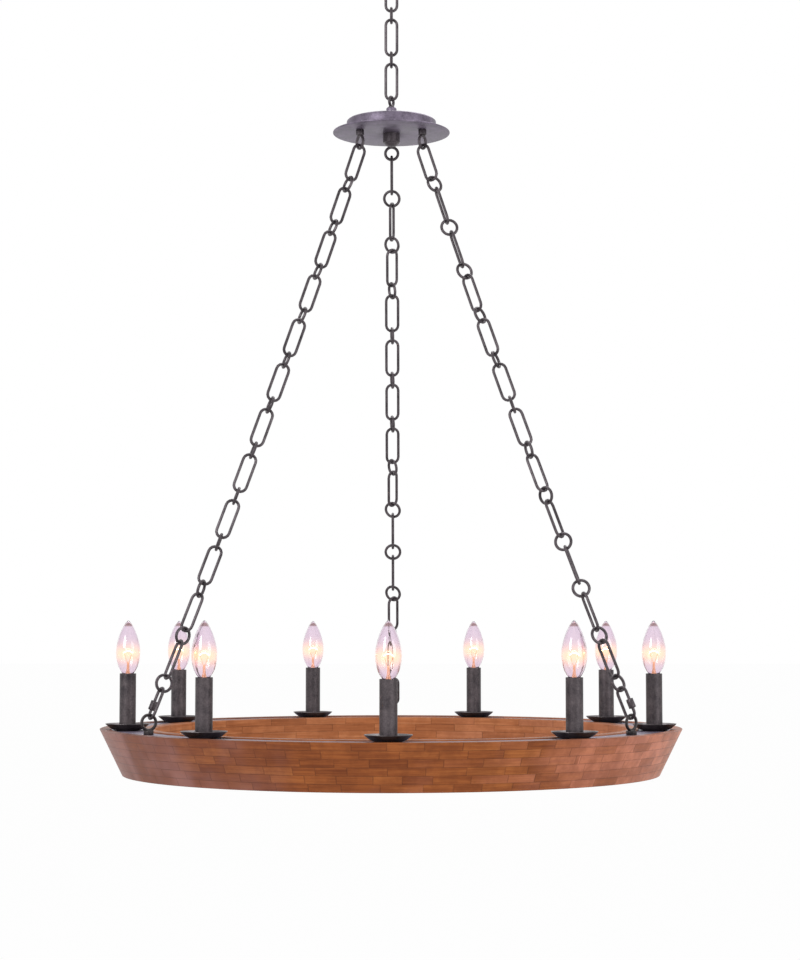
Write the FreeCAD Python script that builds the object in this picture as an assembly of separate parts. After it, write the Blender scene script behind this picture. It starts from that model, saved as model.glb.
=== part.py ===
import FreeCAD, Part
import math
import os

from FreeCAD import Placement, Rotation, Vector

# Candle-style chandelier: a ring of wood staves on three chains under one hub.
# Millimetres. +Z is up, and the origin is the centre of the crossbar's face against the ceiling.
# The camera side of the ring is -Y.

os.makedirs("parts", exist_ok=True)

# ---- ceiling fitting ----
CROSSBAR_END = 7.55
CROSSBAR_WIDTH = 20.0
CROSSBAR_THICK = 2.5
SCREW_SPACING = 88.9
SCREW_HOLE_R = 2.4
CANOPY_R = 70.0
CANOPY_DEPTH = 25.0
CANOPY_EDGE = 5.0
SHEET = 1.5
STEM_R = 5.0
COLLAR_R = 12.0
COLLAR_HEIGHT = 8.0
COLLAR_TRAVEL = 8.0
CANOPY_LOOP_OD = 30.0

# ---- chain ----
WIRE = 4.7
LINK_GAP = 0.4
TOP_LONG_LENGTH = 63.6
TOP_LONG_WIDTH = 22.8
TOP_ROUND_OD = 28.1
TOP_PAIRS = 2
LONG_LENGTH = 65.8
LONG_WIDTH = 24.4
ROUND_OD = 29.6
PAIRS = 12
CHAIN_SAG = 7.0
QUICK_LENGTH = 53.5
QUICK_WIDTH = 22.0
QUICK_GAP = 8.0
QUICK_NUT_FLATS = 10.0
QUICK_NUT_LAP = 3.0

# ---- hub ----
HUB_LOOP_OD = 20.0
HUB_LOOP_TURN = 65.0
NECK_R = 8.3
NECK_HEIGHT = 21.0
HUB_PAN_R = 72.0
HUB_PAN_HEIGHT = 19.0
HUB_PAN_EDGE = 2.0
HUB_DISC_R = 94.0
HUB_DISC_THICK = 2.5
COUPLING_R = 13.5
COUPLING_HEIGHT = 15.5
DOME_R = 11.0
DOME_HEIGHT = 6.0
HUB_EYE_CIRCLE = 57.6
HUB_EYE_OD = 25.4
HUB_BOSS_R = 6.5
HUB_BOSS_HEIGHT = 8.5

# ---- ring ----
RING_TOP_R = 457.0
RING_TAPER = 35.0
RING_HEIGHT = 71.4
COURSES = 6
STAVES = 32
STAGGER = 0.4
WALL_SEGMENT = 2
RIM = 18.0
LEDGE = 5.0
FLOOR_WIDTH = 3.6
FLOOR_THICK = 9.0
BAND_RECESS = 2.0
BAND_THICK = 3.0

# ---- eyebolts ----
EYEBOLT_OD = 27.4
EYEBOLT_BOSS_R = 8.2
EYEBOLT_BOSS_HEIGHT = 7.0
EYEBOLT_SHANK_R = 4.0
EYEBOLT_SHANK = 16.0
NUT_R = 8.0
NUT_THICK = 6.0

# ---- candles ----
CANDLES = 9
BOBECHE_R = 34.2
BOBECHE_FOOT_R = 20.0
BOBECHE_HEIGHT = 11.0
BOBECHE_WALL = 1.6
SLEEVE_R = 12.7
SLEEVE_WALL = 1.0
SLEEVE_LENGTH = 86.6
SOCKET_R = 9.5
SOCKET_LENGTH = 44.0
SOCKET_SET_BACK = 3.0
SOCKET_DEPTH = 22.5
CANDLE_STEM_R = 4.8
CANDLE_STEM_BELOW = 9.0
BASE_R = 5.95
BASE_LENGTH = 20.0
BULB_R = 18.75
BULB_HEIGHT = 84.4
BULB_NECK_R = 7.0
GLASS_WALL = 1.2
FILAMENT_R = 1.4
FILAMENT_HEIGHT = 34.0

# ---- clearances ----
FIT = 0.3
RUNNING = 0.08

# ---- facets, kept low because the links, staves and candles repeat ----
LOOP_SIDES = 6
LINK_SIDES = 4
HALF_TURN = 4
PLATE_SIDES = 24
DISH_SIDES = 10
TURNED_SIDES = 8
SMALL_SIDES = 6

# Turn of each chain's long links about the chain, in degrees, as (link, turn) pairs with a steady
# change between them. At 0 a link faces the camera side.
CHAINS = {
    "left": {"bearing": -60.0, "twist": ((1, 30), (7, 15), (10, 0), (12, -60)), "end_turn": -60.0},
    "right": {"bearing": 60.0, "twist": ((1, -30), (2, -80), (3, -80), (4, -45), (7, 5), (12, 130)), "end_turn": 135.0},
    "back": {"bearing": 180.0, "twist": ((1, 90), (2, 75), (4, 5), (7, 10), (9, 90), (10, 90), (12, 0)), "end_turn": 0.0},
}


# ---------------------------------------------------------------- building blocks
def planar_solid(points, faces):
    """Closed solid from flat faces, each a ring of indices into points."""
    outlines = [[points[i] for i in ring] for ring in faces]
    shell = Part.makeShell([Part.Face(Part.makePolygon(ring + ring[:1])) for ring in outlines])
    solid = Part.makeSolid(shell)
    if solid.Volume < 0:
        solid.reverse()
    return solid


def turned(profile, sides, phase=0.0):
    """Solid turned about Z from a closed (radius, height) outline, with flat facets.

    The facets' corners lie on the outline's radii, and phase shifts them by a share of one facet.
    """
    points, rows = [], []
    for radius, height in profile:
        count = sides if radius > 0 else 1
        angles = [2 * math.pi * (i + phase) / sides for i in range(count)]
        rows.append(range(len(points), len(points) + count))
        points += [Vector(radius * math.cos(a), radius * math.sin(a), height) for a in angles]
    faces = []
    for row, after in zip(rows, rows[1:] + rows[:1]):
        if len(row) == 1 and len(after) == 1:
            continue
        level = abs(points[row[0]].z - points[after[0]].z) < 1e-9
        if level and 1 in (len(row), len(after)):
            faces.append(list(row if len(row) > 1 else after))
            continue
        for i in range(sides):
            j = (i + 1) % sides
            ring = [row[i % len(row)], row[j % len(row)], after[j % len(after)], after[i % len(after)]]
            faces.append(sorted(set(ring), key=ring.index))
    return planar_solid(points, faces)


def segment(profile, sides, first, count):
    """Part of a ring turned about Z, from one facet's corner over a number of facets, with flat ends."""
    points, rows = [], []
    angles = [2 * math.pi * (first + i) / sides for i in range(count + 1)]
    for radius, height in profile:
        rows.append(range(len(points), len(points) + count + 1))
        points += [Vector(radius * math.cos(a), radius * math.sin(a), height) for a in angles]
    faces = [[row[0] for row in rows], [row[-1] for row in rows]]
    for row, after in zip(rows, rows[1:] + rows[:1]):
        for i in range(count):
            faces.append([row[i], row[i + 1], after[i + 1], after[i]])
    return planar_solid(points, faces)


def section_radius(sides):
    """Corner radius of the facetted section that has the round wire's area."""
    return WIRE / 2 * math.sqrt(2 * math.pi / (sides * math.sin(2 * math.pi / sides)))


def half_flat(sides):
    """From the wire's centre line to the flat that faces the inside of its bend."""
    return section_radius(sides) * math.cos(math.pi / sides)


def swept(stations, sides, closed):
    """Wire through stations of (centre, outward vector), all in one XZ plane."""
    points = []
    radius = section_radius(sides)
    for centre, outward in stations:
        for side in range(sides):
            angle = math.pi + 2 * math.pi * (side + 0.5) / sides
            offset = outward * math.cos(angle) + Vector(0, 1, 0) * math.sin(angle)
            points.append(centre + offset * radius)
    count = len(stations)
    faces = []
    for i in range(count if closed else count - 1):
        a = i * sides
        b = (i + 1) % count * sides
        for side in range(sides):
            after = (side + 1) % sides
            faces.append([a + side, a + after, b + after, b + side])
    if not closed:
        faces.append(list(range(sides)))
        faces.append(list(range((count - 1) * sides, count * sides)))
    return planar_solid(points, faces)


def half_turn(bend, middle, start):
    """Mitred stations of half a turn about a point on the Z axis, with a flat at its crown."""
    stations = []
    mitre = 1 / math.cos(math.pi / HALF_TURN / 2)
    for step in range(HALF_TURN):
        angle = math.radians(start) + math.pi * (step + 0.5) / HALF_TURN
        outward = Vector(math.cos(angle), 0, math.sin(angle)) * mitre
        stations.append((outward * bend + Vector(0, 0, middle), outward))
    return stations


def link(length, width, sides=LINK_SIDES):
    """Closed link standing in the XZ plane about the origin, round where length equals width."""
    bend = (width - WIRE) / 2
    reach = (length - width) / 2
    return swept(half_turn(bend, reach, 0) + half_turn(bend, -reach, 180), sides, closed=True)


def prism(flats, length, bore=0.0):
    """Hexagonal prism about Z from the origin, with an optional facetted bore of that radius."""
    radius = flats / 2 / math.cos(math.pi / 6)
    if bore == 0:
        return turned([(0, 0), (radius, 0), (radius, length), (0, length)], 6)
    return turned([(bore, 0), (radius, 0), (radius, length), (bore, length)], 6)


def placed(shape, position, rotation=Rotation()):
    """Copy of a shape at a position and rotation."""
    moved = shape.copy()
    moved.Placement = Placement(position, rotation)
    return moved


def around(shape, radius, bearings, height=0.0):
    """Copies on a circle, each turned with its bearing, measured from -Y towards +X."""
    copies = []
    for bearing in bearings:
        turn = Rotation(Vector(0, 0, 1), bearing)
        copies.append(placed(shape, turn.multVec(Vector(0, -radius, 0)) + Vector(0, 0, height), turn))
    return copies


def export(name, solids):
    """Writes one node, a single solid or a group of separate ones."""
    shape = solids[0] if len(solids) == 1 else Part.makeCompound(solids)
    shape.exportStep(f"parts/{name}.step")


# ---------------------------------------------------------------- radii that follow from the sizes
RING_BOTTOM_R = RING_TOP_R - RING_TAPER
INNER_R = RING_BOTTOM_R - 2 * (RIM + LEDGE + FIT) - FLOOR_WIDTH
FITTING_CIRCLE = (INNER_R + RING_TOP_R) / 2
CROSSBAR_LENGTH = SCREW_SPACING + 2 * CROSSBAR_END

# ---------------------------------------------------------------- heights, from the ceiling down
TOP_SEAT = 2 * half_flat(LOOP_SIDES) + LINK_GAP
EYE_SEAT = half_flat(LOOP_SIDES) + section_radius(LOOP_SIDES) + FIT
END_SEAT = half_flat(LOOP_SIDES) + half_flat(LINK_SIDES) + LINK_GAP
SEAT = 2 * half_flat(LINK_SIDES) + LINK_GAP
COLLAR_TOP = -CANOPY_DEPTH - FIT
COLLAR_BOTTOM = COLLAR_TOP - COLLAR_HEIGHT
CANOPY_LOOP_TOP = COLLAR_BOTTOM - COLLAR_TRAVEL - FIT
CANOPY_LOOP_Z = CANOPY_LOOP_TOP - CANOPY_LOOP_OD / 2
STEM_END = CANOPY_LOOP_TOP - WIRE / 2
TOP_SEAT_Z = CANOPY_LOOP_Z - (CANOPY_LOOP_OD - WIRE) / 2

TOP_LINKS = [(TOP_LONG_LENGTH, TOP_LONG_WIDTH)]
for pair in range(TOP_PAIRS):
    TOP_LINKS += [(TOP_ROUND_OD, TOP_ROUND_OD), (TOP_LONG_LENGTH, TOP_LONG_WIDTH)]

TOP_CENTRES = []
seat = TOP_SEAT_Z
for length, width in TOP_LINKS:
    TOP_CENTRES.append(seat + TOP_SEAT - (length - WIRE) / 2)
    seat = seat + TOP_SEAT - (length - WIRE)
HUB_LOOP_TOP = seat + TOP_SEAT
HUB_LOOP_Z = HUB_LOOP_TOP - (HUB_LOOP_OD - WIRE) / 2

NECK_TOP = HUB_LOOP_Z - HUB_LOOP_OD / 2
PAN_TOP = NECK_TOP - NECK_HEIGHT
DISC_TOP = PAN_TOP - HUB_PAN_HEIGHT
DISC_BOTTOM = DISC_TOP - HUB_DISC_THICK
HUB_EYE_Z = DISC_BOTTOM - HUB_BOSS_HEIGHT - HUB_EYE_OD / 2 + WIRE / 4
CHAIN_TOP_Z = HUB_EYE_Z - (HUB_EYE_OD - WIRE) / 2

CHAIN_LINKS = [(LONG_LENGTH, LONG_WIDTH), (ROUND_OD, ROUND_OD)] * PAIRS + [(QUICK_LENGTH, QUICK_WIDTH)]
CHAIN_SEATS = [EYE_SEAT, END_SEAT] + [SEAT] * (len(CHAIN_LINKS) - 3) + [END_SEAT, EYE_SEAT]
CHAIN_LENGTH = sum(length - WIRE for length, width in CHAIN_LINKS) - sum(CHAIN_SEATS)
EYEBOLT_BEND = (EYEBOLT_OD - WIRE) / 2
CHAIN_LEAN = math.asin((FITTING_CIRCLE - HUB_EYE_CIRCLE) / (CHAIN_LENGTH + EYEBOLT_BEND))
EYEBOLT_Z = CHAIN_TOP_Z - (CHAIN_LENGTH + EYEBOLT_BEND) * math.cos(CHAIN_LEAN)
BAND_TOP = EYEBOLT_Z - EYEBOLT_OD / 2 - EYEBOLT_BOSS_HEIGHT + WIRE / 2
BAND_BOTTOM = BAND_TOP - BAND_THICK
RING_TOP = BAND_TOP + BAND_RECESS
COURSE_HEIGHT = RING_HEIGHT / COURSES
RING_BOTTOM = RING_TOP - RING_HEIGHT

SADDLE_TOP = BAND_TOP + BOBECHE_WALL
SLEEVE_TOP = SADDLE_TOP + SLEEVE_LENGTH
SOCKET_TOP = SLEEVE_TOP - SOCKET_SET_BACK
BASE_TOP = SOCKET_TOP + FIT
GLASS_BOTTOM = BASE_TOP + FIT
BEARINGS = [chain["bearing"] for chain in CHAINS.values()]
CANDLE_BEARINGS = [360.0 * i / CANDLES for i in range(CANDLES)]


# ---------------------------------------------------------------- ceiling fitting
def ceiling_crossbar():
    bar = Part.makeBox(CROSSBAR_LENGTH, CROSSBAR_WIDTH, CROSSBAR_THICK)
    bar.translate(Vector(-CROSSBAR_LENGTH / 2, -CROSSBAR_WIDTH / 2, -CROSSBAR_THICK))
    for x in (-SCREW_SPACING / 2, SCREW_SPACING / 2):
        hole = Part.makeCylinder(SCREW_HOLE_R, 3 * CROSSBAR_THICK, Vector(x, 0, -2 * CROSSBAR_THICK))
        bar = bar.cut(hole)
    return bar.cut(stem_hole(-2 * CROSSBAR_THICK, 3 * CROSSBAR_THICK))


def stem_hole(bottom, height):
    """Facetted hole that a threaded stem passes through."""
    radius = STEM_R + FIT
    return turned([(0, bottom), (radius, bottom), (radius, bottom + height), (0, bottom + height)], SMALL_SIDES)


def spun_pan(radius, depth, edge):
    """Open pan with its mouth up at height 0 and a hole for the stem in its floor."""
    hole = (STEM_R + FIT) / math.cos(math.pi / PLATE_SIDES)
    return turned(
        [
            (hole, -depth),
            (radius - edge, -depth),
            (radius, edge - depth),
            (radius, 0),
            (radius - SHEET, 0),
            (radius - max(edge, SHEET), SHEET - depth),
            (hole, SHEET - depth),
        ],
        PLATE_SIDES,
    )


def canopy_loop():
    stem = turned([(0, STEM_END), (STEM_R, STEM_END), (STEM_R, 0), (0, 0)], SMALL_SIDES)
    turn = Rotation(Vector(0, 0, 1), 90)
    loop = placed(link(CANOPY_LOOP_OD, CANOPY_LOOP_OD, LOOP_SIDES), Vector(0, 0, CANOPY_LOOP_Z), turn)
    return stem.fuse(loop)


def canopy_collar():
    bore = (STEM_R + FIT) / math.cos(math.pi / TURNED_SIDES)
    chamfer = COLLAR_HEIGHT / 4
    return turned(
        [
            (bore, COLLAR_BOTTOM),
            (COLLAR_R - chamfer, COLLAR_BOTTOM),
            (COLLAR_R, COLLAR_BOTTOM + chamfer),
            (COLLAR_R, COLLAR_TOP),
            (bore, COLLAR_TOP),
        ],
        TURNED_SIDES,
    )


export("ceiling_crossbar", [ceiling_crossbar()])
export("canopy_pan", [spun_pan(CANOPY_R, CANOPY_DEPTH, CANOPY_EDGE)])
export("canopy_loop", [canopy_loop()])
export("canopy_collar", [canopy_collar()])


# ---------------------------------------------------------------- suspension chain
for number, ((length, width), height) in enumerate(zip(TOP_LINKS, TOP_CENTRES), start=1):
    quarter = Rotation(Vector(0, 0, 1), 0 if number % 2 else 90)
    export(f"top_link_{number}", [placed(link(length, width, LOOP_SIDES), Vector(0, 0, height), quarter)])


# ---------------------------------------------------------------- hub
def hub_loop():
    bottom = DISC_BOTTOM - COUPLING_HEIGHT / 2
    top = NECK_TOP + WIRE / 2
    rod = turned([(0, bottom), (STEM_R, bottom), (STEM_R, top), (0, top)], SMALL_SIDES)
    turn = Rotation(Vector(0, 0, 1), HUB_LOOP_TURN)
    return rod.fuse(placed(link(HUB_LOOP_OD, HUB_LOOP_OD, LOOP_SIDES), Vector(0, 0, HUB_LOOP_Z), turn))


export("hub_loop", [hub_loop()])


def washer(bore, radius, bottom, top, sides):
    """Flat ring or tube about Z, whose facetted bore clears that radius."""
    clear = (bore + FIT) / math.cos(math.pi / sides)
    return turned([(clear, bottom), (radius, bottom), (radius, top), (clear, top)], sides)


def hub_coupling():
    bore = (STEM_R + FIT) / math.cos(math.pi / TURNED_SIDES)
    bore_end = DISC_BOTTOM - COUPLING_HEIGHT / 2 - FIT
    shoulder = DISC_BOTTOM - COUPLING_HEIGHT
    return turned(
        [
            (bore, DISC_BOTTOM),
            (COUPLING_R, DISC_BOTTOM),
            (COUPLING_R, shoulder),
            (DOME_R, shoulder),
            (DOME_R * 0.7, shoulder - DOME_HEIGHT * 0.7),
            (0, shoulder - DOME_HEIGHT),
            (0, bore_end),
            (bore, bore_end),
        ],
        TURNED_SIDES,
    )


def hub_eye():
    """Eye and boss under the disc, with the eye's opening facing the hub's axis."""
    boss_bottom = DISC_BOTTOM - HUB_BOSS_HEIGHT
    boss = turned([(0, boss_bottom), (HUB_BOSS_R, boss_bottom), (HUB_BOSS_R, DISC_BOTTOM), (0, DISC_BOTTOM)], SMALL_SIDES)
    return boss.fuse(placed(link(HUB_EYE_OD, HUB_EYE_OD, LOOP_SIDES), Vector(0, 0, HUB_EYE_Z)))


export("hub_neck", [washer(STEM_R, NECK_R, PAN_TOP, NECK_TOP, TURNED_SIDES)])
flipped = Rotation(Vector(1, 0, 0), 180)
export("hub_pan", [placed(spun_pan(HUB_PAN_R, HUB_PAN_HEIGHT, HUB_PAN_EDGE), Vector(0, 0, DISC_TOP), flipped)])
export("hub_disc", [washer(STEM_R, HUB_DISC_R, DISC_BOTTOM, DISC_TOP, PLATE_SIDES)])
export("hub_coupling", [hub_coupling()])
export("hub_eyes", around(hub_eye(), HUB_EYE_CIRCLE, BEARINGS))


# ---------------------------------------------------------------- chains to the ring
def long_link_turn(keys, number):
    """Turn of a chain's long link, with a steady change between the stated links."""
    for (first, start), (last, end) in zip(keys, keys[1:]):
        if first <= number <= last:
            return start + (end - start) * (number - first) / (last - first)
    return keys[-1][1]


def outward_of(chain):
    """Level direction from the middle of the fixture towards a chain's eyebolt."""
    bearing = math.radians(chain["bearing"])
    return Vector(math.sin(bearing), -math.cos(bearing), 0)


def eye_lean(chain):
    """Angle within the eyebolt's eye, from its top to where the leaning chain pulls at it."""
    turn = math.radians(chain["end_turn"] + 90)
    across = -math.sin(CHAIN_LEAN) * outward_of(chain).dot(Vector(math.cos(turn), math.sin(turn), 0))
    return math.atan2(across, math.cos(CHAIN_LEAN))


def chain_ends(chain):
    """Wire centres of the hub's eye and of the eyebolt, where the chain's end links hang in them."""
    turn = math.radians(chain["end_turn"] + 90)
    lean = eye_lean(chain)
    seat = Vector(math.cos(turn) * math.sin(lean), math.sin(turn) * math.sin(lean), math.cos(lean))
    eyebolt_centre = outward_of(chain) * FITTING_CIRCLE + Vector(0, 0, EYEBOLT_Z)
    return outward_of(chain) * HUB_EYE_CIRCLE + Vector(0, 0, CHAIN_TOP_Z), eyebolt_centre + seat * EYEBOLT_BEND


def chain_frames(chain):
    """Placements of a chain's links, top to bottom, on a slightly sagging line."""
    start, end = chain_ends(chain)
    chord = end - start
    inward = chord.cross(outward_of(chain).cross(Vector(0, 0, 1))).normalize()
    turns = [long_link_turn(chain["twist"], number + 1) for number in range(PAIRS)] + [chain["end_turn"]]
    frames = []
    seat = 0.0
    for index, (length, width) in enumerate(CHAIN_LINKS):
        along = seat - CHAIN_SEATS[index] + (length - WIRE) / 2
        share = along / CHAIN_LENGTH
        centre = start + chord * share + inward * (4 * CHAIN_SAG * share * (1 - share))
        up = -(chord + inward * (4 * CHAIN_SAG * (1 - 2 * share))).normalize()
        turn = turns[index // 2]
        if index % 2 == 1:
            turn = (turns[index // 2] + turns[index // 2 + 1]) / 2 + 90
        side = Vector(math.cos(math.radians(turn)), math.sin(math.radians(turn)), 0)
        side = (side - up * side.dot(up)).normalize()
        frames.append(Placement(centre, Rotation(side, up.cross(side), up, "ZXY")))
        seat += length - WIRE - CHAIN_SEATS[index]
    return frames


def quick_link():
    """Oval link with a gap in one leg, which the sleeve nut closes."""
    bend = (QUICK_WIDTH - WIRE) / 2
    reach = (QUICK_LENGTH - QUICK_WIDTH) / 2
    outward = Vector(-1, 0, 0)
    below = (outward * bend + Vector(0, 0, -QUICK_GAP), outward)
    above = (outward * bend, outward)
    path = [below] + half_turn(bend, -reach, 180) + half_turn(bend, reach, 0) + [above]
    return swept(path, LOOP_SIDES, closed=False)


def quick_nut():
    bore = (section_radius(LOOP_SIDES) + RUNNING) / math.cos(math.pi / 6)
    nut = prism(QUICK_NUT_FLATS, QUICK_GAP + 2 * QUICK_NUT_LAP, bore)
    return placed(nut, Vector(-(QUICK_WIDTH - WIRE) / 2, 0, -QUICK_GAP - QUICK_NUT_LAP))


def framed(shape, frame):
    """Copy of a shape carried from its own position into a frame."""
    moved = shape.copy()
    moved.Placement = frame.multiply(shape.Placement)
    return moved


def eyebolt(chain):
    """Eye, boss and threaded shank in one, its eye across the quick link that it holds."""
    boss_top = BAND_TOP + EYEBOLT_BOSS_HEIGHT
    shank_end = BAND_TOP - EYEBOLT_SHANK
    body = turned(
        [
            (0, shank_end),
            (EYEBOLT_SHANK_R, shank_end),
            (EYEBOLT_SHANK_R, BAND_TOP),
            (EYEBOLT_BOSS_R, BAND_TOP),
            (EYEBOLT_BOSS_R, boss_top),
            (0, boss_top),
        ],
        SMALL_SIDES,
    )
    lean = Rotation(Vector(0, 1, 0), math.degrees(eye_lean(chain)))
    eye = placed(link(EYEBOLT_OD, EYEBOLT_OD, LOOP_SIDES), Vector(0, 0, EYEBOLT_Z), lean)
    turn = Rotation(Vector(0, 0, 1), chain["end_turn"] + 90)
    return placed(body.fuse(eye), outward_of(chain) * FITTING_CIRCLE, turn)


for side, chain in CHAINS.items():
    frames = chain_frames(chain)
    sides = [LOOP_SIDES] + [LINK_SIDES] * (len(frames) - 2)
    links = [framed(link(*size, count), frame) for size, count, frame in zip(CHAIN_LINKS, sides, frames)]
    export(f"chain_{side}", links)
    export(f"quick_link_{side}", [framed(quick_link(), frames[-1])])
    export(f"quick_nut_{side}", [framed(quick_nut(), frames[-1])])

export("eyebolts", [eyebolt(chain) for chain in CHAINS.values()])
eyebolt_nut = placed(prism(2 * NUT_R, NUT_THICK, (EYEBOLT_SHANK_R + FIT) / math.cos(math.pi / 6)), Vector())
export("eyebolt_nuts", around(eyebolt_nut, FITTING_CIRCLE, BEARINGS, BAND_BOTTOM - NUT_THICK))


# ---------------------------------------------------------------- ring
def outer_radius(height):
    """Outer face of the ring, drawn in towards its foot."""
    return RING_TOP_R - RING_TAPER * (RING_TOP - height) / RING_HEIGHT


def outer_course(number):
    """One course of staves; the top one has the ledge that the band lies on."""
    top = RING_TOP - number * COURSE_HEIGHT
    bottom = top - COURSE_HEIGHT
    wall = RIM + LEDGE
    outline = [
        (outer_radius(bottom) - wall, bottom),
        (outer_radius(bottom), bottom),
        (outer_radius(top), top),
    ]
    if number == 0:
        outline += [
            (outer_radius(top) - RIM, top),
            (outer_radius(top) - RIM, BAND_BOTTOM),
            (outer_radius(BAND_BOTTOM) - wall, BAND_BOTTOM),
        ]
    else:
        outline.append((outer_radius(top) - wall, top))
    return turned(outline, STAVES, number * STAGGER % 1)


def inner_wall():
    """Segments of the wall around the middle, each of a few staves, end to end."""
    outline = [
        (INNER_R, RING_BOTTOM),
        (INNER_R + RIM + LEDGE, RING_BOTTOM),
        (INNER_R + RIM + LEDGE, BAND_BOTTOM),
        (INNER_R + RIM, BAND_BOTTOM),
        (INNER_R + RIM, RING_TOP),
        (INNER_R, RING_TOP),
    ]
    return [segment(outline, STAVES, first, WALL_SEGMENT) for first in range(0, STAVES, WALL_SEGMENT)]


def floor_ring():
    inside = INNER_R + RIM + LEDGE + FIT
    wall = RIM + LEDGE + FIT
    top = RING_BOTTOM + FLOOR_THICK
    outline = [(inside, RING_BOTTOM), (outer_radius(RING_BOTTOM) - wall, RING_BOTTOM)]
    outline += [(outer_radius(top) - wall, top), (inside, top)]
    return turned(outline, STAVES)


def band():
    """Steel band on the two ledges, with holes for the eyebolts and the candle stems."""
    inside = INNER_R + RIM + FIT
    outside = RING_TOP_R - RIM - FIT
    plate = turned([(inside, BAND_BOTTOM), (outside, BAND_BOTTOM), (outside, BAND_TOP), (inside, BAND_TOP)], STAVES)
    for radius, bearings in ((EYEBOLT_SHANK_R, BEARINGS), (CANDLE_STEM_R, CANDLE_BEARINGS)):
        hole = (radius + FIT) / math.cos(math.pi / SMALL_SIDES)
        low, high = BAND_BOTTOM - BAND_THICK, BAND_TOP + BAND_THICK
        drill = turned([(0, low), (hole, low), (hole, high), (0, high)], SMALL_SIDES)
        plate = plate.cut(around(drill, FITTING_CIRCLE, bearings))
    return plate


for number in range(COURSES):
    export(f"outer_course_{number + 1}", [outer_course(number)])
export("inner_wall", inner_wall())
export("floor_ring", [floor_ring()])
export("band", [band()])


# ---------------------------------------------------------------- candles
def bobeche():
    hole = (CANDLE_STEM_R + FIT) / math.cos(math.pi / DISH_SIDES)
    rim = BAND_TOP + BOBECHE_HEIGHT
    return turned(
        [
            (hole, BAND_TOP),
            (BOBECHE_FOOT_R, BAND_TOP),
            (BOBECHE_R, rim),
            (BOBECHE_FOOT_R, SADDLE_TOP),
            (hole, SADDLE_TOP),
        ],
        DISH_SIDES,
    )


def sleeve():
    inside = SLEEVE_R - SLEEVE_WALL
    return turned([(inside, SADDLE_TOP), (SLEEVE_R, SADDLE_TOP), (SLEEVE_R, SLEEVE_TOP), (inside, SLEEVE_TOP)], TURNED_SIDES)


def socket():
    """Lamp holder with its threaded stem, which passes the dish and the band."""
    bore = (BASE_R + RUNNING) / math.cos(math.pi / SMALL_SIDES)
    stem_end = BAND_BOTTOM - CANDLE_STEM_BELOW
    bottom = SOCKET_TOP - SOCKET_LENGTH
    return turned(
        [
            (0, stem_end),
            (CANDLE_STEM_R, stem_end),
            (CANDLE_STEM_R, bottom),
            (SOCKET_R, bottom),
            (SOCKET_R, SOCKET_TOP),
            (bore, SOCKET_TOP),
            (bore, SOCKET_TOP - SOCKET_DEPTH),
            (0, SOCKET_TOP - SOCKET_DEPTH),
        ],
        SMALL_SIDES,
    )


def bulb_base():
    """Screw shell tapering to its contact, with the filament's mount standing in it."""
    bottom = BASE_TOP - BASE_LENGTH
    return turned(
        [
            (0, bottom),
            (BASE_R * 0.45, bottom),
            (BASE_R, bottom + BASE_R * 0.5),
            (BASE_R, BASE_TOP),
            (FILAMENT_R, BASE_TOP),
            (FILAMENT_R, BASE_TOP + FILAMENT_HEIGHT),
            (0, BASE_TOP + FILAMENT_HEIGHT),
        ],
        SMALL_SIDES,
    )


def bulb_glass():
    """Pointed envelope, widest at two fifths of its height, open below where the base closes it."""
    outside = [(0.0, BULB_NECK_R / BULB_R), (0.16, 0.82), (0.42, 1.0), (0.62, 0.86), (0.82, 0.5), (0.95, 0.18)]
    inside = [(0.8, 0.46), (0.42, 0.98), (0.0, BULB_NECK_R / BULB_R)]
    outline = [(share * BULB_R, GLASS_BOTTOM + height * BULB_HEIGHT) for height, share in outside]
    outline.append((0, GLASS_BOTTOM + BULB_HEIGHT))
    outline.append((0, GLASS_BOTTOM + 0.95 * BULB_HEIGHT - GLASS_WALL))
    outline += [(share * BULB_R - GLASS_WALL, GLASS_BOTTOM + height * BULB_HEIGHT) for height, share in inside]
    return turned(outline, TURNED_SIDES)


export("bobeches", around(bobeche(), FITTING_CIRCLE, CANDLE_BEARINGS))
export("sleeves", around(sleeve(), FITTING_CIRCLE, CANDLE_BEARINGS))
export("sockets", around(socket(), FITTING_CIRCLE, CANDLE_BEARINGS))
for number, (base, glass) in enumerate(
    zip(around(bulb_base(), FITTING_CIRCLE, CANDLE_BEARINGS), around(bulb_glass(), FITTING_CIRCLE, CANDLE_BEARINGS)),
    start=1,
):
    export(f"bulb_{number}_base", [base])
    export(f"bulb_{number}_glass", [glass])

print("chain length", round(CHAIN_LENGTH, 1), "lean", round(math.degrees(CHAIN_LEAN), 2), "seat", round(SEAT, 2))
print("hub underside", round(DISC_BOTTOM, 1), "ring top", round(RING_TOP, 1), "ring bottom", round(RING_BOTTOM, 1))
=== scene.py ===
# %% [markdown]
# # A ring chandelier
# A ring of glued wood blocks carries nine candle-style lamps and hangs on three link chains from a round
# metal hub, which a short chain holds under the ceiling. The engineering model is already packed: it says
# where each piece is and how it moves. Here every piece gets the form and the finish of the real one.

# %% Load the engineering model
import math

import bmesh
import bpy
import numpy as np
from mathutils import Matrix, Vector


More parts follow.
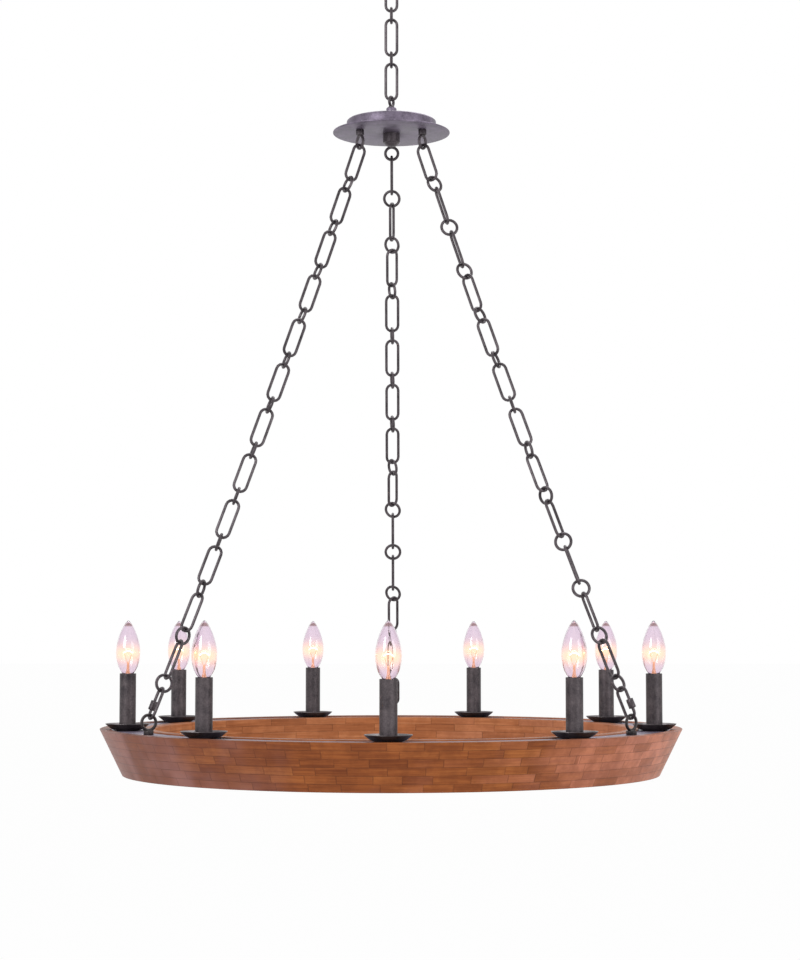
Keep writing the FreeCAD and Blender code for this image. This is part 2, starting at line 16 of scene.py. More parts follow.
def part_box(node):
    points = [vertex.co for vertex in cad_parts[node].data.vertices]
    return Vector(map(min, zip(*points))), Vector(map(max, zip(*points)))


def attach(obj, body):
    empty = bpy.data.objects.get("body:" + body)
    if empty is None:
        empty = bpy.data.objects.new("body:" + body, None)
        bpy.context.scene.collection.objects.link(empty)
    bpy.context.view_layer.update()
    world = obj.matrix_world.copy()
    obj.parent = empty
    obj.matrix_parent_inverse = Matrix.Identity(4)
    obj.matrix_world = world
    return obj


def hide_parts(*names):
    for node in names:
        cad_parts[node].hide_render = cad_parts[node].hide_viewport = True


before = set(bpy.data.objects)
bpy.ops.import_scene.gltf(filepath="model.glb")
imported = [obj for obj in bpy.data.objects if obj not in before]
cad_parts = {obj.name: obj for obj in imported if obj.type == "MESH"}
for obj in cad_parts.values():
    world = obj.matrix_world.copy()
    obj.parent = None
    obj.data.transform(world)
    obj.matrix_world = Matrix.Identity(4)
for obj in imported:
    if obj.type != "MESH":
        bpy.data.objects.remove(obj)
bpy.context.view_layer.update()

MM = 0.001
CHAINS = ("left", "right", "back")


def heights(node):
    """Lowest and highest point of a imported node."""
    low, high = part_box(node)
    return low.z, high.z


# %% [markdown]
# The photograph was taken from a little above the ring's rim, about three and a half metres away, with the
# camera tipped slightly up. Straight uprights would also be possible with a shifted lens, but the chains'
# spread fits a tipped camera, so that is what this uses.

# %% Camera
PICTURE_HEIGHT = 960
FOCAL_PIXELS = 2172.7
CAMERA_X, CAMERA_Y, CAMERA_ABOVE_RING = 0.03256, -3.4556, 0.1619
TIPPED_UP, YAW = math.radians(90 + 3.806), 0.0054
ring_low, ring_high = heights("outer_course_6")[0], heights("outer_course_1")[1]
scene = bpy.context.scene
lens = bpy.data.cameras.new("camera")
lens.sensor_fit = "VERTICAL"
lens.sensor_height = 36.0
lens.lens = 36.0 * FOCAL_PIXELS / PICTURE_HEIGHT
camera = bpy.data.objects.new("camera", lens)
camera.location = (CAMERA_X, CAMERA_Y, ring_high + CAMERA_ABOVE_RING)
camera.rotation_euler = (TIPPED_UP, 0, YAW)
scene.collection.objects.link(camera)
scene.camera = camera
scene.view_settings.view_transform = "Standard"
print("camera at", tuple(round(v, 3) for v in camera.location), "lens", round(lens.lens, 2))

# %% [markdown]
# Shader sums are easier to read as Python than as rows of Math nodes. `Amount` wraps one output socket and
# turns `+`, `*` and the like into Math nodes. `Nodes` adds any other node by its type, and `Finish` is the
# same for one material and its Principled shader.


# %% Shader sums
class Amount:
    """One value on its way through a tree of shader nodes."""

    def __init__(self, nodes, socket):
        self.nodes = nodes
        self.socket = socket

    def math(self, operation, *others):
        sockets = {0: self, **dict(enumerate(others, 1))}
        return self.nodes.node("ShaderNodeMath", {"operation": operation}, sockets)

    def beside(self, *names):
        """Named outputs of the node that this value comes from."""
        outputs = self.socket.node.outputs
        return [Amount(self.nodes, outputs[name]) for name in names]

    def __add__(self, other):
        return self.math("ADD", other)

    def __sub__(self, other):
        return self.math("SUBTRACT", other)

    def __rsub__(self, other):
        return (self * -1.0) + other

    def __mul__(self, other):
        return self.math("MULTIPLY", other)

    def __truediv__(self, other):
        return self.math("DIVIDE", other)

    def __lt__(self, other):
        return self.math("LESS_THAN", other)


class Nodes:
    """A tree of shader nodes, and the one way to add a node to it."""

    def __init__(self, tree):
        self.tree = tree

    def node(self, kind, settings=None, sockets=None, out=0):
        made = self.tree.nodes.new(kind)
        for name, value in (settings or {}).items():
            if name == "stops":
                ramp = made.color_ramp
                while len(ramp.elements) < len(value):
                    ramp.elements.new(0.5)
                for stop, (place, colour) in zip(ramp.elements, value):
                    stop.position = place
                    stop.color = colour
            else:
                setattr(made, name, value)
        for name, value in (sockets or {}).items():
            self.feed(made.inputs[name], value)
        return Amount(self, made.outputs[out])

    def feed(self, socket, value):
        if isinstance(value, Amount):
            self.tree.links.new(value.socket, socket)
        else:
            socket.default_value = value


class Finish(Nodes):
    """One material, with the Principled shader that everything feeds."""

    def __init__(self, name, **sockets):
        self.material = bpy.data.materials.new(name)
        self.material.use_nodes = True
        super().__init__(self.material.node_tree)
        self.shader = self.tree.nodes["Principled BSDF"]
        self.set(**sockets)

    def set(self, **sockets):
        for name, value in sockets.items():
            self.feed(self.shader.inputs[name.replace("_", " ")], value)

    def place(self):
        """Object coordinates, whole and as x, y and z."""
        where = self.node("ShaderNodeTexCoord", out="Object")
        return where, *self.node("ShaderNodeSeparateXYZ", None, {0: where}).beside("X", "Y", "Z")

    def noise(self, where, scale, detail=3.0, rough=0.55):
        sockets = {"Vector": where, "Scale": scale, "Detail": detail, "Roughness": rough}
        return self.node("ShaderNodeTexNoise", None, sockets)

    def blend(self, amount, first, second):
        """Colour between two colours."""
        return self.node("ShaderNodeMix", {"data_type": "RGBA"}, {0: amount, 6: first, 7: second}, out=2)

    def steps(self, amount, *stops):
        """Colour or shade along a ramp of (place, colour) stops."""
        return self.node("ShaderNodeValToRGB", {"stops": stops}, {0: amount})

    def bump(self, height, depth, strength):
        sockets = {"Height": height, "Distance": depth, "Strength": strength}
        return self.node("ShaderNodeBump", None, sockets)


def rgb(red, green, blue):
    return (red, green, blue, 1.0)


def grey(level):
    return rgb(level, level, level)


print("shader sums ready")

# %% [markdown]
# The chains, the hub and the candle fittings are iron with a dark bronze patina: nearly black in the hollows,
# with lilac-grey patches where light catches it. Two sizes of noise give the patches and the fine grain.


# %% Bronze patina
def patina(name, dark, pale, rough):
    """Metal that goes from dark to pale in patches, with an average roughness."""
    finish = Finish(name, Metallic=0.55, Specular_IOR_Level=0.5)
    where = finish.place()[0]
    patches = finish.noise(where, 55.0, 4.0, 0.6)
    grain = finish.noise(where, 420.0, 3.0, 0.7)
    mottle = finish.steps(patches * 0.6 + grain * 0.4, (0.36, grey(0.0)), (0.66, grey(1.0)))
    finish.set(Base_Color=finish.blend(mottle, dark, pale))
    finish.set(Roughness=patches * 0.24 + (rough - 0.12), Normal=finish.bump(grain, 0.0004, 0.5))
    return finish.material


bronze = patina("bronze_patina", rgb(0.025, 0.020, 0.024), rgb(0.116, 0.097, 0.108), 0.4)
# painted reflection: the hub's patina is lighter and more lilac than the chains', for the white studio mirrored in
# it at a grazing angle
hub_bronze_painted_reflection = patina("hub_patina_painted_reflection", rgb(0.082, 0.066, 0.096), rgb(0.228, 0.188, 0.258), 0.44)
candle_bronze = patina("candle_patina", rgb(0.025, 0.020, 0.024), rgb(0.106, 0.086, 0.092), 0.46)
# painted light: the dish patina's dark end is lifted, so the dish's downward face is not black where little light
# reaches it
dish_bronze_painted_light = patina("dish_patina_painted_light", rgb(0.036, 0.030, 0.032), rgb(0.115, 0.098, 0.104), 0.34)
eye_bronze = patina("eyebolt_patina", rgb(0.017, 0.014, 0.015), rgb(0.066, 0.055, 0.056), 0.4)
print("patinas", bronze.name, hub_bronze_painted_reflection.name, candle_bronze.name, dish_bronze_painted_light.name, eye_bronze.name)

# %% [markdown]
# The ring is glued from rows of short wood blocks, so its pattern follows the ring: the turn about its
# axis runs along a row, and the height picks the row. A one-dimensional Voronoi along the row gives blocks
# of uneven length with one tone each, and its distance to the edge gives the dark glue lines. Grain, figure
# and streaks are noise drawn out along the row. A painted highlight makes the wood rosier and lighter toward
# the right of the ring, and the outer wall turns greyer toward its left.

# %% Block wood
COURSES = 6
ROW_STAGGER = 0.3819
GLUE_WIDTH, ROW_GAP = 0.7 * MM, 0.5 * MM
row_height = (ring_high - ring_low) / COURSES


def block_wood(name, blocks, radius, tones, rose_highlight, left_greying=0.0):
    """Wood in rows of blocks, with a number of blocks to the turn at a radius."""
    finish = Finish(name, Coat_Weight=0.03, Coat_Roughness=0.35, Specular_IOR_Level=0.12)
    where, x, y, z = finish.place()
    height = (z - ring_low) / row_height
    course = height.math("FLOOR")
    turn = y.math("ARCTAN2", x) / (2 * math.pi)
    girth = radius * 2 * math.pi
    along = (turn + course * ROW_STAGGER).math("FRACT") * blocks + course * 131.0
    row = {"W": along, "Scale": 1.0, "Randomness": 0.7}
    cell = finish.node("ShaderNodeTexVoronoi", {"voronoi_dimensions": "1D"}, row, out="Color")
    to_edge = {"voronoi_dimensions": "1D", "feature": "DISTANCE_TO_EDGE"}
    edge = finish.node("ShaderNodeTexVoronoi", to_edge, row)
    tone, hue, shift = finish.node("ShaderNodeSeparateColor", None, {0: cell}).beside("Red", "Green", "Blue")

    def drawn_out(per_metre, per_height, jump, apart, detail, rough):
        """Noise stretched along the row, and different in each block."""
        sockets = {0: turn * (girth * per_metre), 1: z * per_height + shift * jump, 2: apart}
        return finish.noise(finish.node("ShaderNodeCombineXYZ", None, sockets), 1.0, detail, rough)

    grain = drawn_out(9.0, 260.0, 40.0, hue * 30.0, 5.0, 0.62)
    figure = drawn_out(5.0, 60.0, 20.0, hue * 11.0, 3.0, 0.5)
    streak = drawn_out(22.0, 900.0, 70.0, tone * 50.0, 3.0, 0.6)
    shade = tone * 0.22 + grain * 0.66 + figure * 0.44 + streak * 0.44 - 0.39
    dark, middle, pale = tones
    colour = finish.steps(shade, (0.18, dark), (0.48, middle), (0.82, pale))
    cloud = finish.noise(where, 6.0, 3.0, 0.6)
    # painted highlight: the wood turns rosier and lighter toward the right of the ring, with larger x
    painted_light_to_right = hue * 0.22 + x * 1.25 + cloud * 0.5 - 0.14
    colour = finish.blend(finish.steps(painted_light_to_right, (0.35, grey(0.0)), (0.85, grey(0.85))), colour, rose_highlight)
    stain = finish.steps(finish.noise(where, 32.0, 3.0, 0.65), (0.42, grey(0.34)), (0.60, grey(0.0)))
    colour = finish.blend(stain, colour, dark)
    # the outer wall turns greyer toward its left, by its x position
    if left_greying:
        cloudy = finish.steps(cloud, (0.45, grey(0)), (0.62, grey(1)))
        left_grey = finish.blend(cloudy, rgb(0.14, 0.048, 0.037), rgb(0.27, 0.125, 0.110))
        to_left = finish.steps(x * -1.5 + cloud * 1.5 - 0.45, (0.35, grey(0.0)), (0.9, grey(left_greying)))
        colour = finish.blend(to_left, colour, left_grey)
    from_row_edge = height.math("FRACT").math("SUBTRACT", 0.5).math("ABSOLUTE") * -row_height + row_height / 2
    joint = ((edge / blocks * girth) < GLUE_WIDTH).math("MAXIMUM", from_row_edge < ROW_GAP)
    faint = finish.noise(where, 60.0, 2.0, 0.5) * 1.3
    colour = finish.blend(joint * faint * 0.52, colour, rgb(0.045, 0.014, 0.007))
    finish.set(Base_Color=colour, Roughness=grain * 0.2 + 0.34)
    finish.set(Normal=finish.bump(grain * 0.3 - joint * 0.7, 0.0004, 0.6))
    return finish.material


outer_tones = rgb(0.120, 0.028, 0.008), rgb(0.262, 0.074, 0.019), rgb(0.42, 0.142, 0.038)
outer_wood = block_wood("outer_block_wood", 56, 0.44, outer_tones, rgb(0.62, 0.235, 0.150), 0.8)
# painted light: the inner wall's wood gets lighter tones than the outer wall's, for its lit inner face
inner_lit_tones = rgb(0.20, 0.058, 0.019), rgb(0.37, 0.122, 0.044), rgb(0.54, 0.215, 0.092)
inner_wood_painted_light = block_wood("inner_block_wood_painted_light", 30, 0.372, inner_lit_tones, rgb(0.50, 0.205, 0.12))
print("rows", round(row_height * 1000, 1), "mm high")

# %% [markdown]
# Round pieces are spun from half an outline, as a maker would turn them. The outline starts as a few
# corners joined by edges, `bmesh.ops.spin` sweeps it, and a bevel breaks every sharp edge.

# %% Turning helpers
SHARP_EDGE = math.radians(30)
SHARP_SHADING = math.radians(35)


def break_edges(bm, width):
    faced = [edge for edge in bm.edges if len(edge.link_faces) == 2]
    sharp = [edge for edge in faced if edge.calc_face_angle() > SHARP_EDGE]
    bmesh.ops.bevel(
        bm, geom=sharp, offset=width, segments=2, profile=0.5, affect="EDGES", material=-1, clamp_overlap=True
    )


def corners_from(base, *corners):
    """Outline in metres from corners in millimetres, with their heights above a base."""
    return [(radius * MM, base + height * MM) for radius, height in corners]


def plain(radius, low, high, hole=0.0):
    """Outline of a plain cylinder, or of a tube if it has a hole."""
    return [(hole, low), (radius, low), (radius, high), (hole, high)]


def turned(outline, steps, centre=(0.0, 0.0), closed=True, edge=0.0):
    """Solid of revolution about an upright axis, from (radius, height) corners in metres."""
    bm = bmesh.new()
    corners = [bm.verts.new((centre[0] + radius, centre[1], height)) for radius, height in outline]
    edges = [bm.edges.new(pair) for pair in zip(corners, corners[1:])]
    if closed:
        edges.append(bm.edges.new((corners[-1], corners[0])))
    axis = {"cent": (*centre, 0), "axis": (0, 0, 1), "angle": 2 * math.pi}
    bmesh.ops.spin(bm, geom=corners + edges, steps=steps, use_merge=True, **axis)
    bmesh.ops.remove_doubles(bm, verts=bm.verts, dist=1e-6)
    bmesh.ops.recalc_face_normals(bm, faces=bm.faces)
    if edge:
        break_edges(bm, edge)
    return bm


def moved(bm, matrix):
    bmesh.ops.transform(bm, matrix=matrix, verts=bm.verts)
    return bm


def joined(parts):
    """One bmesh from several."""
    whole = bmesh.new()
    for part in parts:
        mesh = bpy.data.meshes.new("part")
        part.to_mesh(mesh)
        part.free()
        whole.from_mesh(mesh)
        bpy.data.meshes.remove(mesh)
    return whole


def piece(name, bm, finish, body, nodes=()):
    """Object from a bmesh, riding on a body and standing for its nodes."""
    mesh = bpy.data.meshes.new(name)
    bm.to_mesh(mesh)
    bm.free()
    mesh.materials.append(finish)
    mesh.polygons.foreach_set("use_smooth", [True] * len(mesh.polygons))
    mesh.set_sharp_from_angle(angle=SHARP_SHADING)
    made = bpy.data.objects.new(name, mesh)
    scene.collection.objects.link(made)
    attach(made, body)
    if nodes:
        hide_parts(*nodes)


print("turning helpers ready")

# %% [markdown]
# The outer wall leans in towards its foot. Each course is a ring of its own, spun in steps short enough to
# look round. Only the top course has its edges eased, so the courses read as one smooth wall.

# %% Outer wall
RING_STEPS = 180
RING_TOP_R, RING_BOTTOM_R = 457 * MM, 422 * MM
RIM, LEDGE, EASE = 18 * MM, 5 * MM, 1 * MM
WALL = RIM + LEDGE
band_low, band_high = heights("band")


def outer_radius(height):
    return RING_TOP_R - (RING_TOP_R - RING_BOTTOM_R) * (ring_high - height) / (ring_high - ring_low)


for number in range(COURSES):
    top = ring_high - number * row_height
    bottom = top - row_height
    at_top, at_bottom = outer_radius(top), outer_radius(bottom)
    outline = [(at_bottom - WALL, bottom), (at_bottom, bottom)]
    if number == 0:
        outline += [(at_top - 0.1 * MM, top - 0.4 * MM), (at_top - 0.6 * MM, top)]
        outline += [(at_top - RIM + EASE, top), (at_top - RIM, top - EASE)]
        outline += [(at_top - RIM, band_low), (outer_radius(band_low) - WALL, band_low)]
    else:
        outline += [(at_top, top), (at_top - WALL, top)]
    name = f"outer_course_{number + 1}"
    wall_course = turned(outline, RING_STEPS)
    piece(f"outer_wall_course_{number + 1}", wall_course, outer_wood, "ring", [name])
print("outer wall", COURSES, "courses")

# %% [markdown]
# The inner wall is upright, and its wood is painted in lighter tones as painted light on its lit inner face.
# Each wall has a ledge on which a steel band lies, and a narrow wooden floor closes the channel between
# them. All are turned as plain rings, because the block pattern is in the finish.

# %% Inner wall, floor and band
INNER_R = 371.8 * MM
INNER_EASE = 1.6 * MM
FIT = 0.3 * MM
outline = [
    (INNER_R, ring_low), (INNER_R + WALL, ring_low), (INNER_R + WALL, band_low), (INNER_R + RIM, band_low),
    (INNER_R + RIM, ring_high - EASE), (INNER_R + RIM - EASE, ring_high),
    (INNER_R + INNER_EASE, ring_high), (INNER_R, ring_high - INNER_EASE),
]
piece("inner_wall_blocks", turned(outline, RING_STEPS), inner_wood_painted_light, "ring", ["inner_wall"])
floor_low, floor_high = heights("floor_ring")
inside = INNER_R + WALL + FIT
outline = [(inside, floor_low), (outer_radius(floor_low) - WALL - FIT, floor_low)]
outline += [(outer_radius(floor_high) - WALL - FIT, floor_high), (inside, floor_high)]
piece("ring_floor", turned(outline, RING_STEPS), inner_wood_painted_light, "ring", ["floor_ring"])
outline = plain(RING_TOP_R - RIM - FIT, band_low, band_high, INNER_R + RIM + FIT)
piece("steel_band", turned(outline, RING_STEPS), hub_bronze_painted_reflection, "ring", ["band"])
print("inner wall, floor and band")

# %% [markdown]
# A link is one round wire, bent into an oval or a ring until its ends butt in one leg. The section is
# extruded up the leg, spun half a turn, taken down the other leg and spun again. Each link's place is read
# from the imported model, whose chains already hang in the right line.

# %% Wire loops
WIRE_SIDES = 10
BEND_STEPS = 8
BUTT = 0.15 * MM
QUARTER = math.pi / 2


def wire_section(bm, radius, place, sides=WIRE_SIDES):
    """Round section of a wire: its points and the edges between them."""
    points = bmesh.ops.create_circle(bm, segments=sides, radius=radius, matrix=place)["verts"]
    return points, list({edge for point in points for edge in point.link_edges})


def run_straight(bm, rim, lift):
    """Carry a section straight up or down by a length."""
    grown = bmesh.ops.extrude_edge_only(bm, edges=rim)["geom"]
    tip = [part for part in grown if isinstance(part, bmesh.types.BMVert)]
    bmesh.ops.translate(bm, verts=tip, vec=(0, 0, lift))
    edges = [part for part in grown if isinstance(part, bmesh.types.BMEdge)]
    return tip, [edge for edge in edges if all(point in tip for point in edge.verts)]


def capped(bm):
    """Close the ends of a wire and turn its faces outward."""
    bmesh.ops.holes_fill(bm, edges=[edge for edge in bm.edges if edge.is_boundary], sides=0)
    bmesh.ops.recalc_face_normals(bm, faces=bm.faces)
    return bm


def wire_loop(length, width, wire, start=BUTT, end=-BUTT):
    """Bent wire standing in the XZ plane about the origin, its ends at two heights in the +X leg."""
    bm = bmesh.new()
    bend, reach = (width - wire) / 2, (length - width) / 2
    if reach < 1e-6:
        gap = (start - end) / bend
        section, rim = wire_section(bm, wire / 2, Matrix.Translation((bend, 0, 0)))
        bmesh.ops.rotate(bm, verts=section, cent=(0, 0, 0), matrix=Matrix.Rotation(-gap / 2, 3, "Y"))
        full = {"cent": (0, 0, 0), "axis": (0, -1, 0), "angle": 2 * math.pi - gap}
        bmesh.ops.spin(bm, geom=section + rim, steps=3 * BEND_STEPS, **full)
        return capped(bm)
    rim = wire_section(bm, wire / 2, Matrix.Translation((bend, 0, start)))[1]
    for lift, middle in ((reach - start, reach), (-2 * reach, -reach)):
        tip, rim = run_straight(bm, rim, lift)
        half = {"cent": (0, 0, middle), "axis": (0, -1, 0), "angle": math.pi}
        last = bmesh.ops.spin(bm, geom=tip + rim, steps=BEND_STEPS, **half)["geom_last"]
        rim = [part for part in last if isinstance(part, bmesh.types.BMEdge)]
    run_straight(bm, rim, reach + end)
    return capped(bm)


def upright_ring(width, middle, turn, start=BUTT, end=-BUTT):
    """Ring of wire that stands at a height on the axis and is turned about it."""
    place = Matrix.Translation((0, 0, middle)) @ Matrix.Rotation(turn, 4, "Z")
    return moved(wire_loop(width, width, WIRE, start, end), place)


def clusters(node):
    """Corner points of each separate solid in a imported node."""
    bm = bmesh.new()
    bm.from_mesh(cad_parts[node].data)
    bmesh.ops.remove_doubles(bm, verts=bm.verts, dist=2e-6)
    waiting, found = set(bm.verts), []
    while waiting:
        group, reached = [], [waiting.pop()]
        while reached:
            point = reached.pop()
            group.append(tuple(point.co))
            for edge in point.link_edges:
                other = edge.other_vert(point)
                if other in waiting:
                    waiting.remove(other)
                    reached.append(other)
        found.append(np.array(group))
    bm.free()
    return found


def axes_of(points):
    """Middle of some points, with their long axis and the normal of the plane that they lie near."""
    middle = points.mean(0)
    directions = np.linalg.eigh(np.cov((points - middle).T))[1]
    return Vector(middle), Vector(directions[:, 2]), Vector(directions[:, 0])


def link_place(middle, up, normal):
    """Matrix that stands the XZ plane's link at a middle, with its length up and its plane's normal given."""
    up = (up - normal * up.dot(normal)).normalized()
    if up.z < 0:
        up = -up
    side = normal.cross(up).normalized()
    return Matrix.Translation(middle) @ Matrix((side, normal, up)).transposed().to_4x4()


print("wire loops ready")

# %% [markdown]
# Five links hold the hub under the canopy: long ones with a round one between each pair, each turned a
# quarter against the last. One joint each lets them swing, so every link is a piece of its own.

# %% Suspension chain
WIRE = 4.7 * MM
TOP_LONG, TOP_WIDE, TOP_ROUND = 63.6 * MM, 22.8 * MM, 28.1 * MM
for number in range(1, 6):
    node = f"top_link_{number}"
    middle, _, normal = axes_of(clusters(node)[0])
    size = (TOP_LONG, TOP_WIDE) if number % 2 else (TOP_ROUND, TOP_ROUND)
    link = moved(wire_loop(*size, WIRE), link_place(middle, Vector((0, 0, 1)), normal))
    piece(f"suspension_link_{number}", link, bronze, node, [node])
print("suspension links", 5)

# %% [markdown]
# Each long chain alternates twelve long and twelve round links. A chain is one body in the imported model, so
# its links are joined into one piece. The long links' axes come from their own shape, and the round ones'
# from their neighbours. Every third link is turned end for end, so that not all the butts face one way.

# %% Chains to the ring
LONG, WIDE, ROUND = 65.8 * MM, 24.4 * MM, 29.6 * MM
CHAIN_WIRE = 4.6 * MM
for side in CHAINS:
    node = f"chain_{side}"
    groups = sorted((axes_of(points) for points in clusters(node)), key=lambda found: -found[0].z)
    middles = [found[0] for found in groups]
    links = []
    for index, (middle, long_axis, normal) in enumerate(groups):
        is_long = index % 2 == 0
        before, after = middles[max(index - 1, 0)], middles[min(index + 1, len(middles) - 1)]
        place = link_place(middle, long_axis if is_long else before - after, normal)
        flip = Matrix.Rotation(math.pi if index % 3 == 1 else 0, 4, "Z")
        size = (LONG, WIDE) if is_long else (ROUND, ROUND)
        links.append(moved(wire_loop(*size, CHAIN_WIRE), place @ flip))
    piece(f"chain_{side}_links", joined(links), bronze, node, [node])
    print("chain", side, len(links), "links")

# %% [markdown]
# A quick link ends each chain: an oval of wire with a gap in one leg and a long hexagonal nut that closes
# it. The nut's middle and the oval's middle give the side that the gap is on. The nut is a short six-sided
# cone with broken edges, since all its sides are flat.

# %% Quick links and their nuts
QUICK, QUICK_WIDE, GAP = 53.5 * MM, 22 * MM, 8 * MM
NUT_R, NUT_LENGTH = 5.6 * MM, 14 * MM
for side in CHAINS:
    nut_middle, up, _ = axes_of(clusters(f"quick_nut_{side}")[0])
    link_middle, _, normal = axes_of(clusters(f"quick_link_{side}")[0])
    up = up if up.z > 0 else -up
    across = (link_middle - nut_middle).cross(up).cross(up) * -1
    across = (across - normal * across.dot(normal)).normalized()
    middle = nut_middle + up * (GAP / 2) + across * ((QUICK_WIDE - WIRE) / 2)
    place = link_place(middle, up, across.cross(up) * -1)
    if (place.to_3x3() @ Vector((1, 0, 0))).dot(across) > 0:
        place = place @ Matrix.Rotation(math.pi, 4, "Z")
    oval = moved(wire_loop(QUICK, QUICK_WIDE, WIRE, 0, -GAP), place)
    piece(f"quick_link_{side}_wire", oval, bronze, f"chain_{side}", [f"quick_link_{side}"])
    nut = bmesh.new()
    bmesh.ops.create_cone(nut, cap_ends=True, segments=6, radius1=NUT_R, radius2=NUT_R, depth=NUT_LENGTH)
    bmesh.ops.bevel(
        nut, geom=nut.edges[:], offset=0.5 * MM, segments=2, profile=0.5, affect="EDGES", material=-1
    )
    nut = moved(nut, link_place(nut_middle, up, normal))
    piece(f"quick_nut_{side}_barrel", nut, bronze, f"quick_nut_{side}", [f"quick_nut_{side}"])
print("quick links", len(CHAINS))

# %% [markdown]
# The hub is a spun steel cap on a wider plate, with a neck on top. A shop would press or spin these from
# sheet, so they are turned outlines with small broken edges.

# %% Hub
HUB_STEPS, SMALL_STEPS = 96, 40
HOLE = 5.3 * MM
PLATE_R, CAP_R, SHEET = 94 * MM, 72 * MM, 1.5 * MM
NECK_R, NECK_TOP_R = 8.3 * MM, 7.0 * MM
disc_low, disc_high = heights("hub_disc")
pan_high, neck_high = heights("hub_pan")[1], heights("hub_neck")[1]
plate = turned(plain(PLATE_R, disc_low, disc_high, HOLE), HUB_STEPS, edge=0.9 * MM)
piece("hub_plate", plate, hub_bronze_painted_reflection, "hub", ["hub_disc"])
outline = [
    (HOLE, pan_high - SHEET), (CAP_R - 2 * MM, pan_high - SHEET), (CAP_R - SHEET, disc_high),
    (CAP_R, disc_high), (CAP_R, pan_high - 2.4 * MM), (CAP_R - 2.6 * MM, pan_high), (HOLE, pan_high),
]
piece("hub_cap", turned(outline, HUB_STEPS, edge=0.8 * MM), hub_bronze_painted_reflection, "hub", ["hub_pan"])
outline = [(HOLE, pan_high), (NECK_R, pan_high), (NECK_R, neck_high - 2 * MM)]
outline += [(NECK_TOP_R, neck_high), (HOLE, neck_high)]
piece("hub_collar", turned(outline, SMALL_STEPS, edge=0.4 * MM), hub_bronze_painted_reflection, "hub", ["hub_neck"])
print("hub plate at", round(disc_low, 4))

# %% [markdown]
# A rod through the hub ends in a loop above and in a turned finial with a domed foot below. Three eyes on
# small bosses hang under the plate for the chains. The rings are the same bent wire as the links.

# %% Hub loop, coupling and eyes
THIRDS = (-60, 60, 180)
ROD_R, ROD_STEPS = 5 * MM, 24
HUB_RING, HUB_RING_TURN = 20 * MM, math.radians(65)
EYE, EYE_CIRCLE = 25.4 * MM, 57.6 * MM
loop_high = heights("hub_loop")[1]
hub_loop = upright_ring(HUB_RING, loop_high - HUB_RING / 2, HUB_RING_TURN, 0.1 * MM, -0.1 * MM)
rod = turned(plain(ROD_R, disc_low - 7 * MM, neck_high + 1.5 * MM), ROD_STEPS)
piece("hub_hanger", joined([hub_loop, rod]), bronze, "hub", ["hub_loop"])
outline = corners_from(
    disc_low, (5.4, 0), (13.5, 0), (13.5, -14.5), (12.5, -15.5), (11, -15.5), (10.2, -18.1), (7.6, -20.3),
    (4, -21.3), (0, -21.5), (0, -8), (5.4, -8),
)
piece("hub_finial", turned(outline, SMALL_STEPS), bronze, "hub", ["hub_coupling"])
eye_low = heights("hub_eyes")[0]
parts = []
for bearing in THIRDS:
    place = Matrix.Rotation(math.radians(bearing), 4, "Z") @ Matrix.Translation((0, -EYE_CIRCLE, 0))
    eye = moved(
        wire_loop(EYE, EYE, WIRE), Matrix.Translation((0, 0, eye_low + EYE / 2)) @ Matrix.Rotation(QUARTER, 4, "Y")
    )
    boss = turned(plain(6.5 * MM, disc_low - 9 * MM, disc_low), 6, edge=0.6 * MM)
    parts += [moved(part, place) for part in (eye, boss)]
piece("hub_eye_rings", joined(parts), bronze, "hub", ["hub_eyes"])
print("hub eyes", len(THIRDS))

# %% [markdown]
# The canopy, its nut and its loop are above the picture, and follow what such lamps have: a spun cover that
# slides down the stem with its nut. The crossbar and the eyebolts' nuts are plain zinc-plated stock, so they
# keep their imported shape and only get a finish.

# %% Canopy
CANOPY_RING = 30 * MM
canopy_low, canopy_high = heights("canopy_pan")
collar_low, collar_high = heights("canopy_collar")
outline = corners_from(canopy_low, (5.3, 0), (62, 0), (66.5, 1.2), (69.2, 4.5), (70, 9))
outline += [(70 * MM, canopy_high), (68.5 * MM, canopy_high)]
outline += corners_from(canopy_low, (68.5, 9), (66, 4), (62, 1.5), (5.3, 1.5))
piece("canopy_cover", turned(outline, HUB_STEPS), hub_bronze_painted_reflection, "canopy_pan", ["canopy_pan"])
outline = corners_from(collar_low, (5.3, 0), (9.6, 0), (11.6, 1.6), (12, 2.4))
outline += corners_from(collar_high, (12, -1), (11.2, 0), (5.3, 0))
piece("canopy_nut", turned(outline, 48), bronze, "canopy_collar", ["canopy_collar"])
loop_low = heights("canopy_loop")[0]
hanger = upright_ring(CANOPY_RING, loop_low + CANOPY_RING / 2, QUARTER)
stem = turned(plain(ROD_R, 0, loop_low + 27 * MM), ROD_STEPS, edge=0.4 * MM)
piece("canopy_hanger", joined([hanger, stem]), bronze, "ceiling", ["canopy_loop"])
zinc = Finish("zinc_plate", Metallic=1.0)
streak = zinc.noise(zinc.place()[0], 160.0)
zinc.set(Base_Color=zinc.blend(streak, rgb(0.20, 0.20, 0.19), rgb(0.38, 0.38, 0.36)))
zinc.set(Roughness=streak * 0.2 + 0.35)
for name in ("ceiling_crossbar", "eyebolt_nuts"):
    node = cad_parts[name]
    if not node.material_slots:
        node.data.materials.append(zinc.material)
    for slot in node.material_slots:
        slot.material = zinc.material
    print(name, "has", len(node.material_slots), "slots")
print("canopy at", round(canopy_low, 4))

# %% [markdown]
# An eyebolt stands in the band under each chain: a ring of wire on a short boss, with a threaded shank that
# goes down through the band. Ring, boss and shank are made upright and then turned to face their chain.

